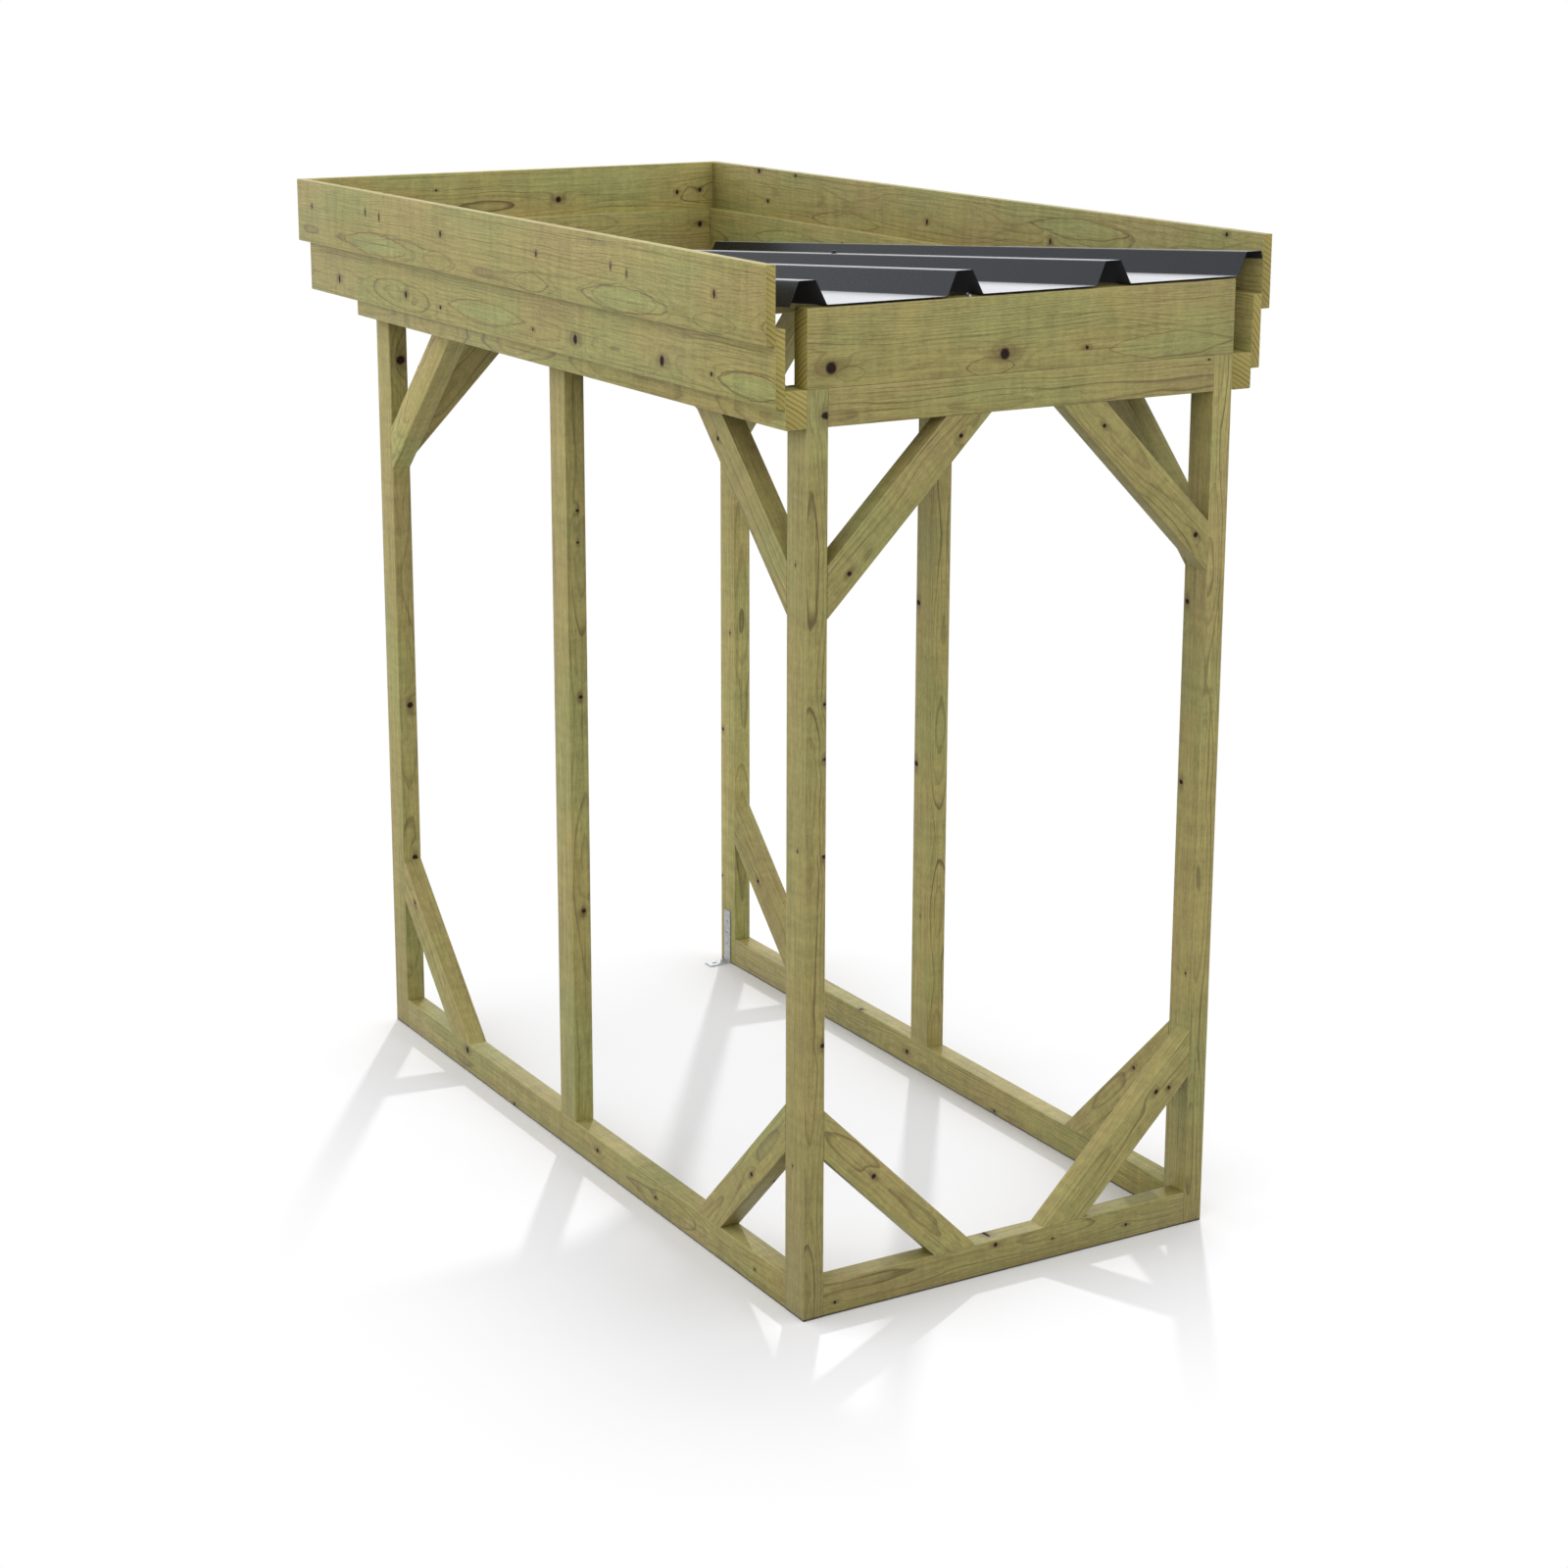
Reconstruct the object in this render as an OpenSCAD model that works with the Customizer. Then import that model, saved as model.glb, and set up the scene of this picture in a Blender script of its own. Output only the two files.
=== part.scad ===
// Log store: an open timber frame with corner braces, a sloping profiled steel sheet,
// and a double row of boards round three sides of the roof.
// The high end faces -Y and the low, open end faces +Y. The origin is at the middle of the footprint.

/* [Frame] */
// Width of the frame over its posts
frame_w = 959; // [860:1:1500]
// Length of the frame over its posts
frame_l = 1940; // [1500:5:2600]
// Height of the posts
post_h = 1800; // [1500:5:2200]
// Length of a corner brace along its long edge
brace_l = 500; // [380:5:540]

/* [Timber] */
// Thickness of the framing timber
timber_t = 45; // [38:1:50]
// Width of the framing timber
timber_w = 70; // [60:1:95]
// Depth of the tall purlin that lifts the roof at the high end
tall_purlin_w = 145; // [130:1:170]

/* [Boards] */
// Thickness of a roof board
board_t = 20; // [16:1:28]
// Width of a roof board
board_w = 143; // [130:1:175]
// Overlap of the lower boards on the side beams
beam_lap = 31; // [20:1:40]
// Overlap of the upper boards on the lower boards
board_lap = 29; // [20:1:50]

/* [Roof sheet] */
// Thickness of the steel sheet
sheet_t = 1; // [0.8:0.1:2]
// Number of ribs along the sheet
rib_count = 4; // [3:1:5]
// Height of a rib
rib_h = 45; // [35:1:50]
// Width of a rib at its crest
rib_crest_w = 34; // [24:1:40]
// Width of a rib at its foot
rib_foot_w = 77; // [60:1:85]
// How far the sheet runs past the low beam
sheet_eave = 145; // [60:1:200]
// Gap between the low end of the sheet and the low boards
gutter_gap = 63; // [40:1:90]
// Gap between the left edge of the sheet and the left lower board
sheet_side_gap = 8; // [3:0.5:14]
// Drop of the lip along the right edge of the sheet
lip_drop = 14; // [8:1:20]
// How far the lip leans out over its drop
lip_splay = 2; // [1:0.5:4]
// Gap between the sheet and the right boards
lip_gap = 1; // [0.5:0.1:2]
// Gap between the sheet and the timbers that carry it
seat_gap = 0.3; // [0.1:0.1:0.5]

/* [Ground anchors] */
// Width of an anchor
anchor_w = 30; // [25:1:45]
// Height of the upright leg of an anchor
anchor_h = 140; // [110:1:200]
// Length of the foot of an anchor
anchor_foot_l = 60; // [50:1:90]
// Thickness of the anchor steel
anchor_t = 3; // [2:0.5:5]
// Diameter of the bolt hole in the foot
bolt_hole_d = 12; // [8:1:14]
// Distance from the end of the foot to the middle of its bolt hole
bolt_hole_inset = 20; // [15:1:25]
// Diameter of a screw hole in the upright leg
screw_hole_d = 5; // [4:0.5:6]
// Distance between the screw holes, and from the top of the leg to the first
screw_pitch = 30; // [20:1:32]
// Number of screw holes in the upright leg
screw_holes = 3; // [2:1:3]

/* [Hidden] */

eps = 1;                                     // how far a hole's cutter runs past its faces
hole_fn = 48;

// Faces of the frame, from the outer corner of the high left post
right_post_x = frame_w - timber_t;
low_post_y = frame_l - timber_w;
low_end_y = frame_l - timber_t;
beam_z = post_h - timber_w;                  // underside of the top beams

// The legs of the corner that a brace closes, to its long edge and to its short edge
brace_outer = brace_l / sqrt(2);
brace_inner = brace_outer - timber_w * sqrt(2);

// The roof rests on the back edges of the tall purlin, the middle purlin and the low beam
roof_slope = tall_purlin_w / (frame_l - timber_t);
roof_angle = atan(roof_slope);
roof_z = post_h + tall_purlin_w + timber_t * roof_slope + seat_gap;      // underside of the sheet at y = 0
mid_purlin_y = (tall_purlin_w - timber_w) / roof_slope;                  // front of the middle purlin
mid_post_y = mid_purlin_y + (timber_t - timber_w) / 2;

// Faces of the boards: the lower ones stand on the side beams, the upper ones on the lower ones
beam_out = timber_t;                         // how far the side beams stand out past the posts
board_out = beam_out + board_t;
lower_board_z = post_h - beam_lap;
upper_board_z = lower_board_z + board_w - board_lap;
right_board_x = frame_w + beam_out;          // inner face of the right lower board
low_board_y = frame_l + sheet_eave + gutter_gap;
lower_board_end = low_board_y + board_t;
overall_l = lower_board_end + board_t;

// The sheet's ribs stand evenly between its left edge and the right lower board
sheet_l = (frame_l + sheet_eave) / cos(roof_angle);
first_rib_x = sheet_side_gap + rib_foot_w / 2 - beam_out;
last_rib_x = right_board_x - lip_gap;
rib_pitch = (last_rib_x - first_rib_x) / (rib_count - 1);
rib_angle = atan(2 * rib_h / (rib_foot_w - rib_crest_w));
skin = sheet_t * tan(rib_angle / 2);         // how far a rib's upper corners stand outside its lower ones
lip_x = right_board_x + board_t - lip_gap;

// From here down the roof the lip would meet the right lower board, so it is notched away
notch_y = (roof_z + (rib_h - lip_drop) * cos(roof_angle) - lower_board_z - board_w - lip_gap) / roof_slope;

// Moves the outer corner of the high left post so that the footprint is centred
module placed() {
    translate([-frame_w / 2, -overall_l / 2, 0]) children();
}

module timber(low, high) {
    color("darkkhaki") placed() translate(low) cube(high - low);
}

module corner_post(x, y) {
    timber([x, y, 0], [x + timber_t, y + timber_w, post_h]);
}

module mid_post(x) {
    timber([x, mid_post_y, timber_w], [x + timber_t, mid_post_y + timber_w, post_h]);
}

module side_sill(x) {
    timber([x, timber_w, 0], [x + timber_t, low_post_y, timber_w]);
}

module high_sill() {
    timber([timber_t, 0, 0], [right_post_x, timber_t, timber_w]);
}

module side_beam(x) {
    timber([x, 0, beam_z], [x + timber_t, frame_l, post_h]);
}

module end_beam(y) {
    timber([timber_t, y, beam_z], [right_post_x, y + timber_t, post_h]);
}

module tall_purlin() {
    timber([0, 0, post_h], [frame_w, timber_t, post_h + tall_purlin_w]);
}

module mid_purlin() {
    timber([-beam_out, mid_purlin_y, post_h], [frame_w + beam_out, mid_purlin_y + timber_t, post_h + timber_w]);
}

// A brace in the corner of a post and a beam. It runs along the beam in the direction of way,
// lies below the beam where up is 1 and above it where up is -1, and rises past the corner by rise.
module brace(way, up, rise = 0) {
    color("darkkhaki") linear_extrude(timber_t) polygon([
        [0, -up * brace_outer], [0, -up * brace_inner],
        [way * (brace_inner + rise), up * rise], [way * (brace_outer + rise), up * rise],
    ]);
}

module end_brace(x, y, z, way, up) {
    placed() translate([x, y + timber_t, z]) rotate([90, 0, 0]) brace(way, up);
}

module end_foot_brace(x, way) {
    end_brace(x, 0, timber_w, way, -1);
}

module end_top_brace(x, y, way) {
    end_brace(x, y, beam_z, way, 1);
}

module side_foot_brace(x, y, way) {
    placed() translate([x, y, timber_w]) rotate([90, 0, 90]) brace(way, -1);
}

// The side beams stand outside the posts, so these braces run on up behind them
module side_top_brace(x, y, way) {
    placed() translate([x, y, beam_z]) rotate([90, 0, 90]) brace(way, 1, timber_w);
}

module board(low, size) {
    color("khaki") placed() translate(low) cube(size);
}

module side_board(x, z, length) {
    board([x, 0, z], [board_t, length, board_w]);
}

module low_board(out, y, z) {
    board([-out, y, z], [frame_w + 2 * out, board_t, board_w]);
}

// Corners of a rib's left and right halves, moved out by grow and up by lift
function left_half(x, grow, lift) = [
    [x - rib_foot_w / 2 - grow, lift], [x - rib_crest_w / 2 - grow, rib_h + lift],
];
function right_half(x, grow, lift) = [
    [x + rib_crest_w / 2 + grow, rib_h + lift], [x + rib_foot_w / 2 + grow, lift],
];
function lip(out, lift) = [
    [lip_x - lip_splay - sheet_t + out, rib_h + lift], [lip_x - sheet_t + out, rib_h - lip_drop],
];

// The sheet's lower or upper line: whole ribs, then the last one, which ends in the lip
function sheet_line(grow, lift) = concat(
    [for (i = [0 : rib_count - 2], half = [0, 1], corner = [0, 1])
        (half == 0 ? left_half(first_rib_x + i * rib_pitch, grow, lift)
                   : right_half(first_rib_x + i * rib_pitch, grow, lift))[corner]],
    left_half(last_rib_x, grow, lift),
    lip(lift, lift)
);

function backwards(line) = [for (i = [len(line) - 1 : -1 : 0]) line[i]];

module steel_sheet() {
    color("dimgray") placed() difference() {
        translate([0, 0, roof_z]) rotate([-roof_angle, 0, 0]) translate([0, sheet_l, 0])
            rotate([90, 0, 0]) linear_extrude(sheet_l)
                polygon(concat(sheet_line(0, 0), backwards(sheet_line(skin, sheet_t))));
        translate([last_rib_x, notch_y, 0]) cube([2 * board_out, 2 * sheet_l, 2 * post_h]);
    }
}

// An angle on the inner face of a low post, with its foot on the ground towards the other post
module anchor() {
    color("silver") difference() {
        translate([0, anchor_w / 2, 0]) rotate([90, 0, 0]) linear_extrude(anchor_w) polygon([
            [0, 0], [anchor_foot_l, 0], [anchor_foot_l, anchor_t],
            [anchor_t, anchor_t], [anchor_t, anchor_h], [0, anchor_h],
        ]);
        translate([anchor_foot_l - bolt_hole_inset, 0, -eps])
            cylinder(d = bolt_hole_d, h = anchor_t + 2 * eps, $fn = hole_fn);
        for (i = [1 : screw_holes])
            translate([-eps, 0, anchor_h - i * screw_pitch]) rotate([0, 90, 0])
                cylinder(d = screw_hole_d, h = anchor_t + 2 * eps, $fn = hole_fn);
    }
}

module left_anchor() {
    placed() translate([timber_t, frame_l - timber_w / 2, 0]) anchor();
}

module right_anchor() {
    placed() translate([right_post_x, frame_l - timber_w / 2, 0]) mirror([1, 0, 0]) anchor();
}

corner_post(0, 0);  // post_high_left
corner_post(right_post_x, 0);  // post_high_right
corner_post(0, low_post_y);  // post_low_left
corner_post(right_post_x, low_post_y);  // post_low_right
mid_post(0);  // post_mid_left
mid_post(right_post_x);  // post_mid_right
side_sill(0);  // sill_left
side_sill(right_post_x);  // sill_right
high_sill();  // sill_high
side_beam(-beam_out);  // top_beam_left
side_beam(frame_w);  // top_beam_right
end_beam(0);  // top_beam_high
end_beam(low_end_y);  // top_beam_low
tall_purlin();  // purlin_high
mid_purlin();  // purlin_mid
end_foot_brace(timber_t, 1);  // foot_brace_high_left_end
end_foot_brace(right_post_x, -1);  // foot_brace_high_right_end
side_foot_brace(0, timber_w, 1);  // foot_brace_high_left_side
side_foot_brace(right_post_x, timber_w, 1);  // foot_brace_high_right_side
side_foot_brace(0, low_post_y, -1);  // foot_brace_low_left_side
side_foot_brace(right_post_x, low_post_y, -1);  // foot_brace_low_right_side
end_top_brace(timber_t, 0, 1);  // top_brace_high_left_end
end_top_brace(right_post_x, 0, -1);  // top_brace_high_right_end
end_top_brace(timber_t, low_end_y, 1);  // top_brace_low_left_end
end_top_brace(right_post_x, low_end_y, -1);  // top_brace_low_right_end
side_top_brace(0, timber_w, 1);  // top_brace_high_left_side
side_top_brace(right_post_x, timber_w, 1);  // top_brace_high_right_side
side_top_brace(0, low_post_y, -1);  // top_brace_low_left_side
side_top_brace(right_post_x, low_post_y, -1);  // top_brace_low_right_side
side_board(-board_out, lower_board_z, lower_board_end);  // lower_board_left
side_board(right_board_x, lower_board_z, lower_board_end);  // lower_board_right
low_board(beam_out, low_board_y, lower_board_z);  // lower_board_low
side_board(-board_out - board_t, upper_board_z, overall_l);  // upper_board_left
side_board(frame_w + board_out, upper_board_z, overall_l);  // upper_board_right
low_board(board_out, lower_board_end, upper_board_z);  // upper_board_low
steel_sheet();  // roof_sheet
left_anchor();  // anchor_left
right_anchor();  // anchor_right
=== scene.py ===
import bpy
import math
import random
from mathutils import Matrix, Vector


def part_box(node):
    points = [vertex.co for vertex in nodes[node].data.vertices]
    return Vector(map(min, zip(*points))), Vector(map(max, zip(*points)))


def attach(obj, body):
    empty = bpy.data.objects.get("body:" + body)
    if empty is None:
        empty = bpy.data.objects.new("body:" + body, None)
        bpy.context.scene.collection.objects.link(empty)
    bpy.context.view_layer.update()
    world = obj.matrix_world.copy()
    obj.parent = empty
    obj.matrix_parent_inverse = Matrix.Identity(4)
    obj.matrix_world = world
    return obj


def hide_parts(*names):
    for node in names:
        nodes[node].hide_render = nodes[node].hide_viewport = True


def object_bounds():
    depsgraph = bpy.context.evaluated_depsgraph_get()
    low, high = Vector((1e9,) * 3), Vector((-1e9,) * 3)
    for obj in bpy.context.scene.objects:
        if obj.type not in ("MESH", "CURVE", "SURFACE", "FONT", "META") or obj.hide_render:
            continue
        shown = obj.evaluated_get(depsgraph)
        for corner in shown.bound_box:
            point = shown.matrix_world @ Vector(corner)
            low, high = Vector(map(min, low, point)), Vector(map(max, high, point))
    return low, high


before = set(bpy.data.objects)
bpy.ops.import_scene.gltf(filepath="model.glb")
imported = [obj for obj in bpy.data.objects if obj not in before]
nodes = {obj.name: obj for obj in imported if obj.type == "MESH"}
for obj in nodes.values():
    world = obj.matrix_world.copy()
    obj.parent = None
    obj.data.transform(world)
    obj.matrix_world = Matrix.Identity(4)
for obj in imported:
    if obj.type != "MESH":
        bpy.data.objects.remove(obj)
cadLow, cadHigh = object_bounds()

dice = random.Random(41)
along = {"x": Vector((1, 0, 0)), "y": Vector((0, 1, 0)), "z": Vector((0, 0, 1))}


def deselectAll():
    for thing in bpy.context.selected_objects:
        thing.select_set(False)


def pick(thing):
    deselectAll()
    thing.select_set(True)
    bpy.context.view_layer.objects.active = thing


def settle(thing):  # the place goes into the mesh
    pick(thing)
    bpy.ops.object.transform_apply(location=True, rotation=True, scale=True)


def dropSelection(mesh):
    for group in (mesh.vertices, mesh.edges, mesh.polygons):
        group.foreach_set("select", [False] * len(group))


def selectEdges(thing, wanted):  # wanted(start, end) says which edges the next operator takes
    mesh = thing.data
    dropSelection(mesh)
    for edge in mesh.edges:
        start, end = (mesh.vertices[i].co for i in edge.vertices)
        if wanted(start, end):
            edge.select = True
            for i in edge.vertices:
                mesh.vertices[i].select = True


def editing(thing, mode="EDGE"):  # the select mode comes first, or faces drop out on the way in
    pick(thing)
    bpy.context.tool_settings.mesh_select_mode = [mode == kind for kind in ("VERT", "EDGE", "FACE")]
    bpy.ops.object.mode_set(mode="EDIT")


def done():
    bpy.ops.object.mode_set(mode="OBJECT")


def paint(thing, name, kind, values, domain="FACE"):
    layer = thing.data.attributes.new(name, kind, domain)
    flat = [part for value in values for part in value] if kind == "FLOAT_VECTOR" else values
    layer.data.foreach_set("vector" if kind == "FLOAT_VECTOR" else "value", flat)


def addToPart(piece, slot, material, *replaced):
    piece.data.materials.clear()
    piece.data.materials.append(material)
    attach(piece, "root")
    if replaced:
        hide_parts(*replaced)


class Wire:  # one socket, with the sums and products that the materials are written in
    def __init__(self, tree, socket):
        self.tree = tree
        self.socket = socket

    def node(self, kind, settings=None, out=0, **sockets):
        made = self.tree.nodes.new(kind)
        for name, value in (settings or {}).items():
            setattr(made, name, value)
        for name, value in sockets.items():
            place = int(name[1:]) if name[0] == "i" and name[1:].isdigit() else name
            socket = made.inputs[place]
            if isinstance(value, Wire):
                self.tree.links.new(value.socket, socket)
            else:
                socket.default_value = value
        return Wire(self.tree, made.outputs[out])

    def math(self, operation, *values, clamp=False):
        sockets = {f"i{i}": value for i, value in enumerate(values)}
        return self.node("ShaderNodeMath", {"operation": operation, "use_clamp": clamp}, **sockets)

    def vector(self, operation, *values, out=0):
        sockets = {f"i{i}": value for i, value in enumerate(values)}
        return self.node("ShaderNodeVectorMath", {"operation": operation}, out=out, **sockets)

    def __add__(self, other):
        return self.math("ADD", self, other)

    def __radd__(self, other):
        return self.math("ADD", other, self)

    def __sub__(self, other):
        return self.math("SUBTRACT", self, other)

    def __rsub__(self, other):
        return self.math("SUBTRACT", other, self)

    def __mul__(self, other):
        return self.math("MULTIPLY", self, other)

    def __rmul__(self, other):
        return self.math("MULTIPLY", other, self)

    def __truediv__(self, other):
        return self.math("DIVIDE", self, other)

    def __pow__(self, other):
        return self.math("POWER", self, other)

    def xyz(self):
        made = self.tree.nodes.new("ShaderNodeSeparateXYZ")
        self.tree.links.new(self.socket, made.inputs[0])
        return [Wire(self.tree, made.outputs[i]) for i in range(3)]

    def pack(self, x, y, z):
        return self.node("ShaderNodeCombineXYZ", i0=x, i1=y, i2=z)

    def step(self, low, high):  # 0 below low, 1 above high, smooth between
        return self.node("ShaderNodeMapRange", {"interpolation_type": "SMOOTHSTEP"},
                         i0=self, i1=low, i2=high, i3=0.0, i4=1.0)

    def noise(self, scale, detail=2.0, rough=0.5, out=0):
        return self.node("ShaderNodeTexNoise", i0=self, Scale=scale, Detail=detail, Roughness=rough, out=out)

    def mix(self, share, other, blend="MIX"):  # colours: self where share is 0, other where it is 1
        made = self.tree.nodes.new("ShaderNodeMix")
        made.data_type = "RGBA"
        made.blend_type = blend
        ends = ((made.inputs["Factor"], share), (made.inputs[6], self), (made.inputs[7], other))
        for socket, value in ends:
            if isinstance(value, Wire):
                self.tree.links.new(value.socket, socket)
            else:
                socket.default_value = value if isinstance(value, (int, float)) else (*value, 1)
        return Wire(self.tree, made.outputs[2])

    def colour(self, value):
        made = self.node("ShaderNodeRGB")
        made.socket.default_value = (*value, 1)
        return made

    def shaded(self, level):  # a colour made lighter or darker
        return self.mix(1.0, self.pack(level, level, level), "MULTIPLY")


def newMaterial(name):
    made = bpy.data.materials.new(name)
    made.use_nodes = True
    tree = made.node_tree
    return made, tree, tree.nodes["Principled BSDF"]


def feed(tree, shader, **sockets):
    for name, value in sockets.items():
        socket = shader.inputs[name.replace("_", " ")]
        if isinstance(value, Wire):
            tree.links.new(value.socket, socket)
        else:
            socket.default_value = value


def attribute(tree, name, out="Vector"):
    made = tree.nodes.new("ShaderNodeAttribute")
    made.attribute_name = name
    return Wire(tree, made.outputs[out])


pineLook = {
    "pale": (0.400, 0.342, 0.122),       # early wood
    "green": (0.330, 0.350, 0.124),      # where the salts took best
    "tan": (0.400, 0.312, 0.128),
    "oval": (0.375, 0.395, 0.145),       # inside the oval figures
    "line": (0.140, 0.098, 0.032),       # late wood
    "knot": (0.012, 0.004, 0.002),
    "knotRim": (0.110, 0.062, 0.024),
    "endPale": (0.425, 0.350, 0.100),
    "endLine": (0.190, 0.138, 0.036),
    "paintedEdgeHighlight": (0.540, 0.475, 0.240),
    "ringGap": 0.0036,                   # metres between the year rings
    "endGap": 0.0088,
    "wander": 0.034,                     # how far the rings wander along a timber
    "curl": 0.0046,
    "knotWobble": 0.004,
    "contactShadeHeight": (0.0014, 0.0054),      # metres above the ground
    "nearFloorDarkeningHeight": (0.0, 0.030),
}
# how much of each colour covers the wood
pineShare = {"green": 0.48, "heart": 0.40, "tan": 0.44, "line": 0.92, "dark": 0.50, "stain": 0.50,
             "rim": 0.82, "core": 0.97, "paintedEdgeHighlight": 0.35, "paintedContactShade": 0.92, "nearFloorDarkening": 0.10}
# how far each sort of fibre lightens and darkens it
pineDepth = {"fibre": 0.95, "streak": 0.70, "sawn": 0.52, "fuzz": 0.66}


def knotField(tree, grain):  # how near a point is to the branch that a knot is cut from
    size = attribute(tree, "knotSize", "Fac")
    way = attribute(tree, "knotWay")
    away = grain.vector("SUBTRACT", grain, attribute(tree, "knotPlace"))
    onBranch = grain.vector("DOT_PRODUCT", away, way, out=1)
    spoke = grain.vector("SCALE", way)
    tree.links.new(onBranch.socket, spoke.socket.node.inputs["Scale"])
    x, y, z = grain.vector("SUBTRACT", away, spoke).xyz()
    wobble = grain.noise(110.0, 2.0) - 0.5
    gap = (x * x + y * y + z * z) ** 0.5 + wobble * pineLook["knotWobble"]
    swirl = ((x * 0.42) ** 2 + y * y + z * z) ** 0.5  # stretched along the timber, for the rings round it
    return {"size": size, "has": size.math("GREATER_THAN", size, 0.0005),
            "share": gap / (size + 0.0001), "swirl": swirl}


def ovalField(tree, grain):  # pointed ovals, where a year ring only just meets the face
    placeAlong, placeAcross, green = attribute(tree, "ovalPlace").xyz()
    halfLong, halfWide, dip = attribute(tree, "ovalShape").xyz()
    x, y = grain.xyz()[:2]
    has = dip.math("GREATER_THAN", dip, 0.0001)
    bend = grain.noise(26.0, 2.0) - 0.5
    inward = (((y - placeAcross) / halfWide) ** 2 + 0.03) ** 0.5
    gap = inward + ((x - placeAlong) / halfLong) ** 2 + bend * 0.45
    return {"green": green, "dip": dip, "gap": gap,
            "line": has * gap.step(0.88, 0.97) * (1.0 - gap.step(0.99, 1.06)),
            "inside": has * (1.0 - gap.step(0.50, 0.98))}


def yearRings(grain, knot, oval):  # round a pith that wanders, bent by the knots and the ovals
    x, y, z = grain.xyz()
    slow = grain.pack(x * 2.4, y * 4.0, z * 4.0).noise(1.0, 1.0)
    curl = grain.pack(x * 6.0, y * 22.0, z * 22.0).noise(1.0, 2.0) - 0.5
    size = knot["size"]
    pull = knot["has"] * size.math("EXPONENT", 0.0 - (knot["swirl"] / (size * 1.9 + 0.004)) ** 2)
    radius = (y * y + z * z) ** 0.5 + (slow - 0.5) * pineLook["wander"] + curl * pineLook["curl"]
    radius = radius + pull * (size * 1.1)
    radius = radius - oval["dip"] * oval["dip"].math("EXPONENT", 0.0 - oval["gap"] ** 2)
    rings = radius / pineLook["ringGap"]
    turn = rings.math("FRACT", rings)
    year = rings.math("FLOOR", rings)
    strength = year.node("ShaderNodeTexWhiteNoise", {"noise_dimensions": "1D"}, W=year)
    late = turn.step(0.60, 0.90) * (1.0 - turn.step(0.94, 1.0))
    faint = grain.pack(x * 3.4, y * 14.0, z * 14.0).noise(1.0, 2.0).step(0.36, 0.60)
    late = late * (0.25 + 0.75 * strength ** 2.0) * (0.55 + 0.45 * faint)
    late = late * (1.0 - oval["inside"] * 0.6)
    late = late.math("MAXIMUM", late, oval["line"] * (0.50 + 0.35 * faint))
    return late, slow, curl


def longFace(grain, oval, late, slow, fibre, streak):
    x, y, z = grain.xyz()
    dark = grain.pack(x * 2.4, y * 260.0, z * 260.0).noise(1.0, 2.0, 0.5).step(0.60, 0.72)
    patch = grain.pack(x * 2.6, y * 8.0, z * 8.0).noise(1.0, 2.0)
    sawn = grain.pack(x * 42.0, y * 8.0, z * 8.0).noise(1.0, 3.0, 0.6) - 0.5
    fuzz = grain.pack(x * 85.0, y * 170.0, z * 170.0).noise(1.0, 3.0, 0.7) - 0.5
    face = grain.colour(pineLook["pale"])
    face = face.mix(patch.step(0.50, 0.66) * pineShare["green"], pineLook["green"])
    face = face.mix(slow.step(0.54, 0.66) * pineShare["heart"], pineLook["green"])
    face = face.mix((1.0 - patch.step(0.36, 0.50)) * pineShare["tan"], pineLook["tan"])
    face = face.mix(oval["inside"] * oval["green"], pineLook["oval"])
    face = face.mix(late * pineShare["line"], pineLook["line"])
    face = face.mix(dark * pineShare["dark"], pineLook["line"])
    return face.shaded(1.0 + fibre * pineDepth["fibre"] + streak * pineDepth["streak"]
                       + sawn * pineDepth["sawn"] + fuzz * pineDepth["fuzz"])


def sawnEnd(grain, curl):  # slanting rings and open pores
    x, y, z = grain.xyz()
    slant = (y + z) * 0.7071 + (y - z) ** 2 * 0.7 + curl * 0.006
    rings = slant / pineLook["endGap"]
    turn = rings.math("FRACT", rings)
    year = rings.math("FLOOR", rings)
    strength = year.node("ShaderNodeTexWhiteNoise", {"noise_dimensions": "1D"}, W=year)
    late = turn.step(0.45, 0.80) * (1.0 - turn.step(0.86, 1.0)) * (0.35 + 0.65 * strength)
    pores = grain.pack(x * 20.0, y * 700.0, z * 700.0).noise(1.0, 3.0, 0.6)
    return grain.colour(pineLook["endPale"]).mix(late, pineLook["endLine"]).shaded(0.84 + pores * 0.32)


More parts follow.
